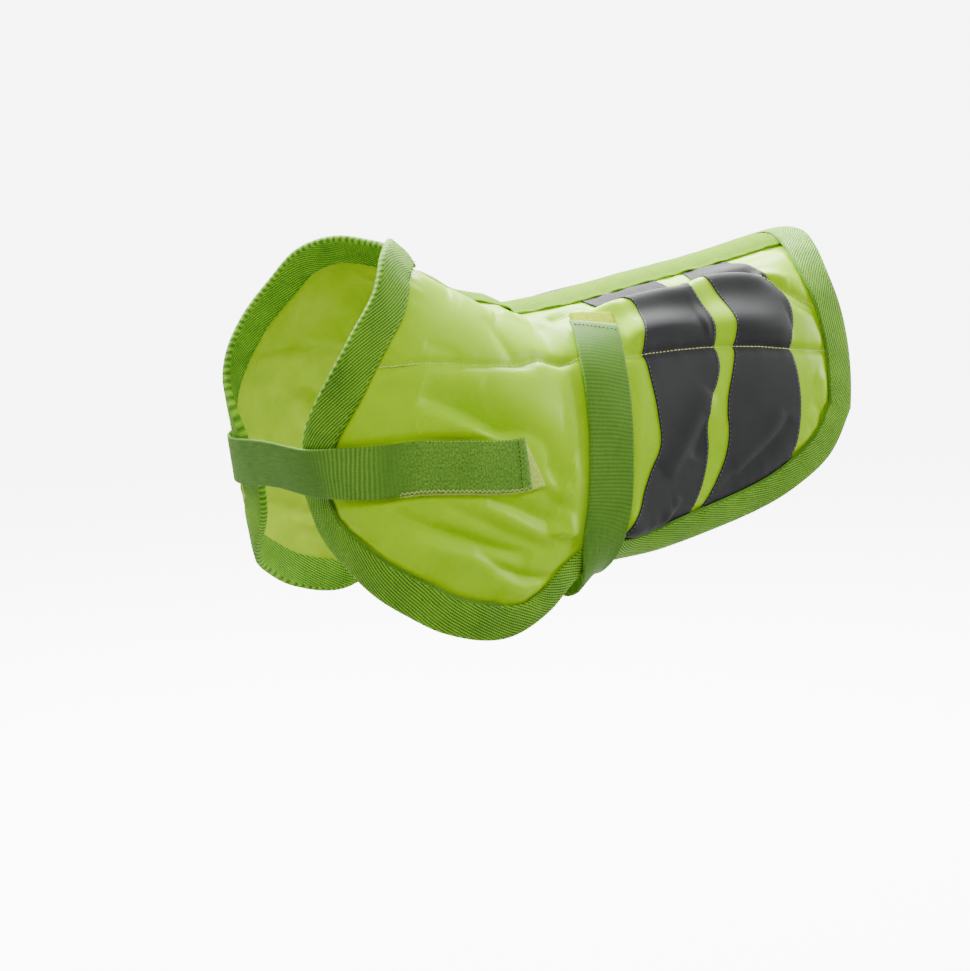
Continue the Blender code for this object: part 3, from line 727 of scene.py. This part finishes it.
def binding_profile():
    """Rows round the folded tape, each (places, offset, reach), its run and its width."""
    (*loops, beyond), reach = binding_lines(outline())
    run = run_along(np.concatenate([loops[0], loops[0][:1]]))
    wave = ripple(run[:-1], *BINDING_WAVE) * BINDING_WAVE_HEIGHT
    outer = BINDING_FACE + BINDING_WALL
    inside = round(BINDING_CELLS * BINDING_INSIDE / BINDING_WIDTH)
    rows = []
    for k in range(BINDING_CELLS, -1, -1):
        share = k / BINDING_CELLS
        crown = BINDING_CROWN * math.sin(math.pi * share)
        rows.append((loops[k], outer + crown + wave * share, k * reach))
    middle, half = (outer + BINDING_UNDER) / 2, (outer - BINDING_UNDER) / 2
    for turn in (0.25, 0.5, 0.75):
        out = math.sin(math.pi * turn) * BINDING_BULGE
        rows.append((loops[0] + (beyond - loops[0]) * out,
                     middle + half * math.cos(math.pi * turn), 0 * reach))
    rows += [(loops[k], INNER_LEG[0], -k * reach) for k in range(inside + 1)]
    rows += [(loops[k], INNER_LEG[1], -k * reach) for k in range(inside, -1, -1)]
    rows += [(loops[k], BINDING_FACE, k * reach) for k in range(BINDING_CELLS + 1)]
    return rows, run, BINDING_CELLS * reach


def closed(grid):
    """Grid with its first row and column repeated at its end."""
    grid = np.concatenate([grid, grid[:1]])
    return np.concatenate([grid, grid[:, :1]], axis=1)


def build_binding(shade):
    """Folded tape round the whole outline, with a leg on each face."""
    rows, run, width = binding_profile()
    points = []
    for places, offset, reach in rows:
        spine = np.abs(form_point(places)[:, 1])
        points.append(lift(places, offset + spine_form(places, spine, np.abs(reach) - width)))
    points = np.array(points)
    count, length = points.shape[:2]
    across = closed(np.array([reach for _, _, reach in rows]))
    faces = grid_quads(closed(np.arange(count * length).reshape(count, length)))[:, ::-1]
    run = np.broadcast_to(run, across.shape)
    spots = grid_quads(np.arange(across.size).reshape(across.shape))[:, ::-1]
    piece = add_piece("edge_binding_tape", points.reshape(-1, 3), faces.tolist(),
                      (shade["binding"],))
    add_uv(piece, "cloth", np.stack([run.ravel(), across.ravel()], -1)[spots])
    add_uv(piece, "ribs", rib_places(run, np.abs(across))[spots])
    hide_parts("edge_binding")


# ---- straps and loop patches
def build_strap(name, rows, shade, twist=NO_TWIST):
    """Webbing strap along its centre line, with rounded edges."""
    path = smooth_path(rows, step=STRAP_STEP)
    rim = np.array([0.95, 0.985, 1.0])
    shares = np.concatenate([-rim[::-1], np.linspace(-0.88, 0.88, 15), rim])
    drop = STRAP_ROUNDING * np.clip((np.abs(shares[:, None]) - 0.94) / 0.06, 0, 1) ** 2
    places = np.array([beside(path, STRAP_WIDTH / 2 * share) for share in shares])
    run = run_along(path)
    rest = STRAP_LIFT + np.outer((shares + 1) / 2, read_table(twist, run))
    uv = np.stack(np.meshgrid(run, shares * STRAP_WIDTH / 2), -1)
    piece = make_wall(name + "_webbing", name, places, rest + drop * 0.6,
                      rest + STRAP_WALL - drop, (shade,), "strap_webbing", True, uv)


def build_patches(shade):
    """Loop patches under the strap ends."""
    for node, key, rows, past, slant, length, width, shift in PATCHES:
        path = smooth_path(rows, step=4.0)
        run = run_along(path)
        lead = path[0] + (path[0] - path[1]) * PATCH_LEAD / run[1]
        path = np.concatenate([[lead], path])
        run = np.concatenate([[-PATCH_LEAD], run])
        lines = []
        for share in np.linspace(-0.5, 0.5, PATCH_CELLS[1]):
            stops = np.linspace(-past - slant * share, length - past, PATCH_CELLS[0])
            lines.append(beside(read_columns(path, run, stops), width * share + shift))
        piece = make_wall(node + "_pile", node, np.array(lines), PATCH_LIFT - PATCH_UNDER,
                          PATCH_LIFT + PATCH_WALL, (shade[key],), key, True)


# ---- materials
class Shade:
    """Short calls that add nodes to one material."""

    def __init__(self, name, colour, roughness):
        self.material = bpy.data.materials.new(name)
        self.material.use_nodes = True
        self.tree = self.material.node_tree
        self.shader = self.tree.nodes["Principled BSDF"]
        self.set(self.shader, "Base Color", (*colour, 1.0))
        self.set(self.shader, "Roughness", roughness)

    def node(self, kind, *values, sockets=(), **settings):
        """New node with its settings, its first sockets and its named sockets."""
        node = self.tree.nodes.new("ShaderNode" + kind)
        for name, value in settings.items():
            setattr(node, name, value)
        for socket, value in (*enumerate(values), *sockets):
            self.set(node, socket, value)
        return node

    def set(self, node, socket, value):
        """Put a value or a link into a socket."""
        target = node.inputs[socket]
        if isinstance(value, bpy.types.NodeSocket):
            self.tree.links.new(value, target)
        else:
            target.default_value = value

    def math(self, operation, a, b=0.0):
        """Output of a math node."""
        return self.node("Math", a, b, operation=operation).outputs[0]

    def plus(self, a, b):
        return self.math("ADD", a, b)

    def times(self, a, b):
        return self.math("MULTIPLY", a, b)

    def scaled(self, value, slope, start):
        """The value times the slope, on top of the start."""
        return self.plus(self.times(value, slope), start)

    def rest(self, value):
        """1 less the value."""
        return self.math("SUBTRACT", 1.0, value)

    def run_and_across(self, title="cloth"):
        """The two uv values of the cloth, in mm."""
        source = self.node("UVMap", uv_map=title)
        split = self.node("SeparateXYZ", source.outputs[0])
        return split.outputs[0], split.outputs[1]

    def span(self, value, low, high):
        """0 to 1 as the value goes from low to high, with soft ends."""
        return self.node("MapRange", value, low, high, interpolation_type="SMOOTHSTEP").outputs[0]

    def wave(self, phase):
        """0 to 1 cosine wave of a phase in turns."""
        turns = self.math("COSINE", self.times(phase, 2 * math.pi))
        return self.times(self.plus(turns, 1.0), 0.5)

    def ridges(self, run, pitch):
        """0 to 1 wave of one pitch along a run, both in mm."""
        return self.wave(self.math("DIVIDE", run, pitch))

    def noise(self, scale, detail=2.0, rough=0.5, place=None):
        """Noise over the object's own metres, or over another (x, y, z) place."""
        if place is None:
            vector = self.node("TexCoord").outputs["Object"]
        else:
            vector = self.node("CombineXYZ", *place).outputs[0]
        sockets = (("Scale", scale), ("Detail", detail), ("Roughness", rough))
        return self.node("TexNoise", vector, sockets=sockets).outputs[0]

    def uneven(self, amount, *noise):
        """Noise to both sides of 0, of the amount given."""
        return self.times(self.math("SUBTRACT", self.noise(*noise), 0.5), amount)

    def ramp(self, factor, stops):
        """Colour ramp of (place, colour) stops."""
        node = self.node("ValToRGB", factor)
        elements = node.color_ramp.elements
        for number, (place, colour) in enumerate(stops):
            element = elements[number] if number < 2 else elements.new(place)
            element.position = place
            element.color = (*colour, 1.0)
        return node.outputs[0]

    def bump(self, height, distance, strength, after=None):
        """Bump of a height in metres, on top of another bump where given."""
        sockets = [("Strength", strength), ("Distance", distance), ("Height", height)]
        if after is not None:
            sockets.append(("Normal", after))
        return self.node("Bump", sockets=sockets).outputs[0]

    def finish(self, colour, gloss, tint=None, **sockets):
        """Set the colour, the gloss, its tint, and other sockets by name, _ for a space."""
        sockets.update(Base_Color=colour, Specular_IOR_Level=gloss)
        if tint is not None:
            sockets["Specular_Tint"] = (*tint, 1.0)
        for name, value in sockets.items():
            self.set(self.shader, name.replace("_", " "), value)
        return self.material


def shell_material():
    """Coated satin polyester, fluorescent yellow-green."""
    s = Shade("shell_satin", (0.42, 0.73, 0.0), 0.42)
    u, v = s.run_and_across()
    fine = s.noise(260.0, 3.0, 0.55)
    weave = s.plus(s.ridges(u, 0.5), s.ridges(v, 0.5))
    normal = s.bump(weave, 0.00003, 0.3, s.bump(fine, 0.0005, 0.3))
    return s.finish(s.ramp(s.noise(28.0, 3.0, 0.6), SHELL_TONES), 0.22, (0.62, 0.85, 0.0),
                    Normal=normal, Roughness=s.scaled(fine, 0.14, 0.33))


def lining_material():
    """Plain reverse of the shell."""
    s = Shade("shell_reverse", (0.42, 0.60, 0.03), 0.8)
    u, v = s.run_and_across()
    weave = s.times(s.ridges(u, 0.8), s.ridges(v, 0.8))
    return s.finish(s.ramp(s.noise(60.0), LINING_TONES), 0.3, (0.6, 0.8, 0.1),
                    Normal=s.bump(weave, 0.00008, 0.4))


def herringbone_material():
    """Binding tape with slanted ribs that meet along its fold line."""
    s = Shade("binding_herringbone", (0.13, 0.31, 0.012), 0.7)
    square, along = s.run_and_across("ribs")
    run, across = s.run_and_across()
    reach = s.math("ABSOLUTE", across)
    phase = s.plus(s.math("DIVIDE", square, RIB_PITCH), s.uneven(0.35, 140.0, 2.0))
    row = s.math("FLOOR", s.plus(phase, 0.5))
    bead = s.wave(s.plus(s.math("DIVIDE", along, BEAD_PITCH), s.times(row, 0.27)))
    ribs = s.times(s.math("POWER", s.wave(phase), 0.75), s.scaled(bead, 0.4, 0.6))
    selvedge = s.span(reach, *SELVEDGE)
    edge = s.plus(s.times(s.ridges(reach, 0.8), 0.3), s.times(s.ridges(run, 1.0), 0.3))
    fold = s.times(s.rest(s.span(reach, 0.0, 2.2)), 0.35)
    plain = s.plus(s.times(edge, selvedge), s.times(fold, 0.6))
    cloth = s.plus(s.times(ribs, s.times(s.rest(selvedge), s.rest(fold))), plain)
    grain = s.plus(s.uneven(0.5, 45.0, 3.0, 0.6), s.uneven(0.3, 900.0, 2.0))
    # tone follows the heights of ribs, beads, selvedge and fold: darker in the dips is painted
    # shade, lighter on the tops painted highlight; the grain added on top is the tape's own uneven
    # tone
    return s.finish(s.ramp(s.plus(cloth, grain), BINDING_TONES), 0.25, (0.5, 0.85, 0.1),
                    Normal=s.bump(cloth, 0.0003, 0.7))


def grosgrain_material():
    """Spine tape with fine cross ribs."""
    s = Shade("spine_grosgrain", (0.2, 0.42, 0.0), 0.85)
    run, across = s.run_and_across()
    bead = s.scaled(s.ridges(across, 1.1), 0.4, 0.6)
    height = s.times(s.ridges(run, 1.25), bead)
    # tone follows the rib height: darker between the ribs is painted shade, lighter on their tops
    # painted highlight; the noise added is the tape's own uneven tone
    tone = s.plus(height, s.uneven(0.5, 600.0, 3.0, 0.6))
    return s.finish(s.ramp(tone, SPINE_TONES), 0.15, (0.55, 0.85, 0.0),
                    Normal=s.bump(height, 0.0003, 0.6))


def webbing_material(name, rib_start, rib_end, smooth, coarse, depth):
    """Webbing, ribbed over one run, smooth over another and coarse over a third."""
    s = Shade(name, (0.10, 0.235, 0.015), 0.62)
    run, across = s.run_and_across()
    ribs = s.times(s.span(run, *rib_start), s.rest(s.span(run, *rib_end)))
    rough = s.rest(s.span(run, *coarse))
    phase = s.plus(s.math("DIVIDE", run, WEFT_PITCH), s.uneven(0.6, 80.0, 2.0))
    ridge = s.times(s.wave(phase), s.scaled(ribs, depth, 0.08))
    stagger = s.times(s.math("FLOOR", s.times(phase, 2.0)), 0.5)
    bead = s.wave(s.plus(s.math("DIVIDE", across, 0.95), stagger))
    fibre = s.noise(1.0, 3.0, 0.6, (s.times(run, 0.12), s.times(across, 1.5), 0.0))
    speck = s.noise(1.0, 2.0, 0.6, (s.times(run, 1.3), s.times(across, 0.75), 7.0))
    sleek = s.scaled(s.span(run, *smooth), 0.5, 0.35)
    fibres = s.times(s.math("SUBTRACT", fibre, 0.5), sleek)
    specks = s.times(s.math("SUBTRACT", speck, 0.45), s.scaled(rough, 2.0, 0.25))
    weave = s.plus(ridge, s.times(bead, s.scaled(rough, 0.2, 0.08)))
    patchy = s.uneven(0.35, 30.0, 2.0, 0.6)
    # weave ridges and beads set both height and tone: darker in their dips is painted shade and
    # lighter on their tops painted highlight; fibres, specks and patches are the webbing's own
    # tone
    tone = s.plus(s.plus(s.plus(weave, fibres), s.plus(specks, patchy)), 0.16)
    height = s.plus(weave, s.times(specks, 0.3))
    return s.finish(s.ramp(tone, STRAP_TONES), 0.2, (0.5, 0.85, 0.1),
                    Normal=s.bump(height, 0.0003, 0.5))


def band_material():
    """Dark grey reflective tape with a soft silver sheen."""
    s = Shade("band_grey", (0.054, 0.054, 0.056), 0.5)
    grain = s.noise(1800.0, 2.0, 0.6)
    return s.finish(s.ramp(s.noise(35.0), BAND_TONES), 0.2, Normal=s.bump(grain, 0.00006, 0.4),
                    Roughness=s.scaled(grain, 0.12, 0.62))


def pile_material(name, tones):
    """Brushed loop pile."""
    high = tones[-1][1]
    s = Shade(name, high, 0.95)
    tuft = s.noise(900.0, 4.0, 0.75)
    # tone follows the tuft height: darker low tufts are painted shade in the pile, paler tips
    # painted highlight
    return s.finish(s.ramp(tuft, tones), 0.1, Normal=s.bump(tuft, 0.0012, 1.0),
                    Sheen_Weight=0.2, Sheen_Tint=(*high, 1.0))


def thread_material(name, colour):
    """Twisted sewing thread."""
    s = Shade(name, colour, 0.55)
    low = tuple(0.7 * part for part in colour)
    return s.finish(s.ramp(s.noise(900.0), ((0.35, low), (0.65, colour))), 0.3, colour)


def paper_material():
    """Pale paper: bright to the eye, and mid grey in the light that it throws back."""
    s = Shade("studio_paper", (0.8, 0.8, 0.8), 0.95)
    seen = s.node("LightPath").outputs["Is Camera Ray"]
    bounce = s.node("BsdfDiffuse", (PAPER_BOUNCE, PAPER_BOUNCE, PAPER_BOUNCE, 1.0))
    either = s.node("MixShader", seen, bounce.outputs[0], s.shader.outputs[0])
    s.set(s.tree.nodes["Material Output"], "Surface", either.outputs[0])
    return s.finish((0.8, 0.8, 0.8, 1.0), 0.0, Emission_Color=(1.0, 1.0, 1.0, 1.0),
                    Emission_Strength=PAPER_GLOW)


# ---- stitches
def row_on(path, high, stitch):
    """Row of stitches at a height on a line of places: (line, normals, stitch)."""
    return lift(path, high), form_normal(path), stitch


def stitch_points(line, normals, stitch):
    """Points of a row of small rounded stitches along a line of points."""
    pitch, share, radius = stitch
    run = chord(line)
    count = max(1, int(run[-1] / pitch))
    middles = (np.arange(count) + 0.5) * run[-1] / count
    half = pitch * share / 2
    start, end = (read_columns(line, run, middles + move) for move in (-half, half))
    up = unit(read_columns(normals, run, middles))
    wide = np.cross(unit(end - start), up)
    shapes = []
    for ring in range(STITCH_RINGS):
        t = ring / (STITCH_RINGS - 1)
        bulge = math.sin(math.pi * (0.08 + 0.84 * t)) ** 0.5 * radius
        rise = radius * (math.sin(math.pi * t) * 0.9 - 0.1)
        centre = start + (end - start) * t + up * rise
        for k in range(STITCH_SIDES):
            a = 2 * math.pi * k / STITCH_SIDES
            shapes.append(centre + wide * bulge * math.cos(a) + up * bulge * math.sin(a))
    return np.array(shapes).transpose(1, 0, 2)


def build_stitches(name, rows, material):
    """One joined mesh from rows of stitches."""
    body = np.arange(STITCH_RINGS * STITCH_SIDES).reshape(STITCH_RINGS, STITCH_SIDES)
    quads = grid_quads(np.concatenate([body, body[:, :1]], axis=1)).tolist()
    one = quads + [body[0, ::-1].tolist(), body[-1].tolist()]
    points = np.concatenate([stitch_points(*row) for row in rows])
    faces = [[corner + number * body.size for corner in face]
             for number in range(len(points)) for face in one]
    return add_piece(name, points.reshape(-1, 3), faces, (material,))


def shell_row(places, relief, extra, stitch):
    """Row of stitches on the shell, or on a band where it crosses one."""
    _, top = relief.heights(places)
    along, angle = places[:, 0], np.abs(places[:, 1])
    over = np.zeros(len(places))
    for _, *edges in BANDS:
        first, last = (read_table(np.flip(edge, 1), angle) for edge in edges)
        over = np.maximum(over, (along > first) & (along < last))
    return row_on(places, top + extra + over * (LAYER_GAP + BAND_WALL), stitch)


def strap_row(path, reach, first, last, stitch, sway=0.0):
    """Row of stitches along a strap, or a zigzag where sway is given."""
    stops = np.arange(first, last, stitch[0] if sway else 0.5)
    spots = read_columns(path, run_along(path), stops)
    middle = beside(spots, reach)
    if sway:
        middle[1::2] = beside(spots, reach + sway)[1::2]
    return row_on(middle, STRAP_LIFT + STRAP_WALL + THREAD_LIFT, stitch)


def across_row(path, stop, stitch):
    """Stitches straight across a strap at one stop."""
    spot = read_columns(path, run_along(path), np.array([stop, stop + 1.0]))
    line = np.array([beside(spot, STRAP_WIDTH / 2 * share)[0]
                     for share in np.linspace(-0.92, 0.92, 24)])
    return row_on(line, STRAP_LIFT + STRAP_WALL + THREAD_LIFT, stitch)


def build_shell_stitches(shade, reliefs):
    """Quilt seams and band edges of both sides."""
    seams, bands = [], []
    for side, relief in reliefs.items():
        for seam in (MAIN_SEAM[1:-1], UPPER_SEAM):
            path = smooth_path(turned(seam, side), step=STITCH_STEP)
            seams.append(shell_row(path, relief, 0.2, QUILT_STITCH))
        for _, *edges in BANDS:
            for edge, reach in zip(edges, (1.0, -1.0)):
                path = smooth_path(turned(edge, side), step=STITCH_STEP)
                row = beside(path, reach * relief.turn)
                bands.append(shell_row(row, relief, THREAD_LIFT, BAND_STITCH))
    build_stitches("quilt_stitches", seams, shade["pale_thread"])
    build_stitches("band_stitches", bands, shade["grey_thread"])


def build_binding_stitches(shade):
    """Row near the edge of the binding's outer leg, on both sides."""
    here = outline()
    tangent = outline_tangents(here)
    reach = read_table(BINDING_REACH, run_along(here))[:, None] - BINDING_STITCH_INSET
    for _ in range(BINDING_CELLS):
        here = inset(here, tangent, reach / BINDING_CELLS)
    inner = here[OUTLINE_SOFTEN:-OUTLINE_SOFTEN]
    high = BINDING_FACE + BINDING_WALL + THREAD_LIFT
    rows = [row_on(turned(inner, side), high, BINDING_STITCH) for side in SIDE_TURN]
    build_stitches("binding_stitches", rows, shade["lime_thread"])


def build_strap_stitches(shade):
    """Zigzag and plain row along the chest strap, and a row across each end."""
    chest, belly = (smooth_path(rows, step=STRAP_STEP) for rows in (CHEST_STRAP, BELLY_STRAP))
    edge = STRAP_WIDTH / 2
    pale = [strap_row(chest, edge - 0.3, 2, 76, ZIGZAG_STITCH, ZIGZAG_SWAY),
            strap_row(chest, 0.5 - edge, 1, 60, PLAIN_STITCH)]
    build_stitches("strap_zigzag", pale, shade["pale_thread"])
    dark = [across_row(chest, 5.5, END_STITCH), across_row(belly, 4.5, END_STITCH)]
    build_stitches("strap_end_stitches", dark, shade["dark_thread"])


# ---- studio
def aim(thing, place, ahead):
    """Put a lamp or camera at a place, looking along a direction."""
    thing.location = place
    thing.rotation_mode = "QUATERNION"
    thing.rotation_quaternion = ahead.to_track_quat("-Z", "Y")


def build_floor():
    """Plain pale floor."""
    mesh = bpy.data.meshes.new("studio_floor")
    corners = [(x * FLOOR_HALF, y * FLOOR_HALF, FLOOR_Z)
               for x, y in ((-1, -1), (1, -1), (1, 1), (-1, 1))]
    mesh.from_pydata(corners, [], [(0, 1, 2, 3)])
    mesh.materials.append(paper_material())
    floor = add_object("studio_floor", mesh)


def build_sky():
    """Plain sky: white to the eye, and dim in the light that it throws."""
    world = bpy.data.worlds.new("studio_world")
    bpy.context.scene.world = world
    world.use_nodes = True
    tree = world.node_tree
    backdrop = tree.nodes["Background"]
    backdrop.inputs[0].default_value = (1.0, 1.0, 1.0, 1.0)
    seen = tree.nodes.new("ShaderNodeLightPath").outputs["Is Camera Ray"]
    level = tree.nodes.new("ShaderNodeMapRange")
    tree.links.new(seen, level.inputs[0])
    level.inputs[3].default_value = SKY_LIGHT
    level.inputs[4].default_value = PAPER_GLOW + 0.8 * SKY_LIGHT
    tree.links.new(level.outputs[0], backdrop.inputs[1])


def build_lamps():
    """Soft rectangular lamps."""
    for name, place, size, power in LAMPS:
        data = bpy.data.lights.new(name, "AREA")
        data.shape = "RECTANGLE"
        data.size, data.size_y = size
        data.energy = power
        aim(add_object(name, data), place, Vector(LAMP_AIM) - Vector(place))


def build_camera():
    """Camera at the photo's view."""
    data = bpy.data.cameras.new("camera")
    data.lens = VIEW_LENS
    data.sensor_width = 36.0
    data.clip_start, data.clip_end = 0.05, 50.0
    camera = add_object("camera", data)
    azimuth, elevation = math.radians(VIEW_AZIMUTH), math.radians(VIEW_ELEVATION)
    level = math.cos(elevation)
    ahead = Vector((math.sin(azimuth) * level, math.cos(azimuth) * level, -math.sin(elevation)))
    aim(camera, Vector(VIEW_TARGET) - ahead * VIEW_DISTANCE, ahead)
    bpy.context.scene.camera = camera


# ---- assembly
build_floor()
build_sky()
build_lamps()
build_camera()
SHADES = {
    "shell": shell_material(),
    "lining": lining_material(),
    "binding": herringbone_material(),
    "spine": grosgrain_material(),
    "chest": webbing_material("chest_webbing", *CHEST_WEAVE),
    "belly": webbing_material("belly_webbing", *BELLY_WEAVE),
    "band": band_material(),
    "chest_loop": pile_material("chest_loop_pile", CHEST_LOOP_TONES),
    "belly_loop": pile_material("belly_loop_pile", BELLY_LOOP_TONES),
    **{name: thread_material(name, colour) for name, colour in THREADS.items()},
}
RELIEFS = {side: Relief(side) for side in SIDE_TURN}
build_panels(SHADES, RELIEFS)
build_bands(SHADES, RELIEFS)
build_spine_tape(SHADES, RELIEFS)
build_binding(SHADES)
build_strap("chest_strap", CHEST_STRAP, SHADES["chest"])
build_strap("belly_strap", BELLY_STRAP, SHADES["belly"], BELLY_TWIST)
build_patches(SHADES)
build_shell_stitches(SHADES, RELIEFS)
build_binding_stitches(SHADES)
build_strap_stitches(SHADES)
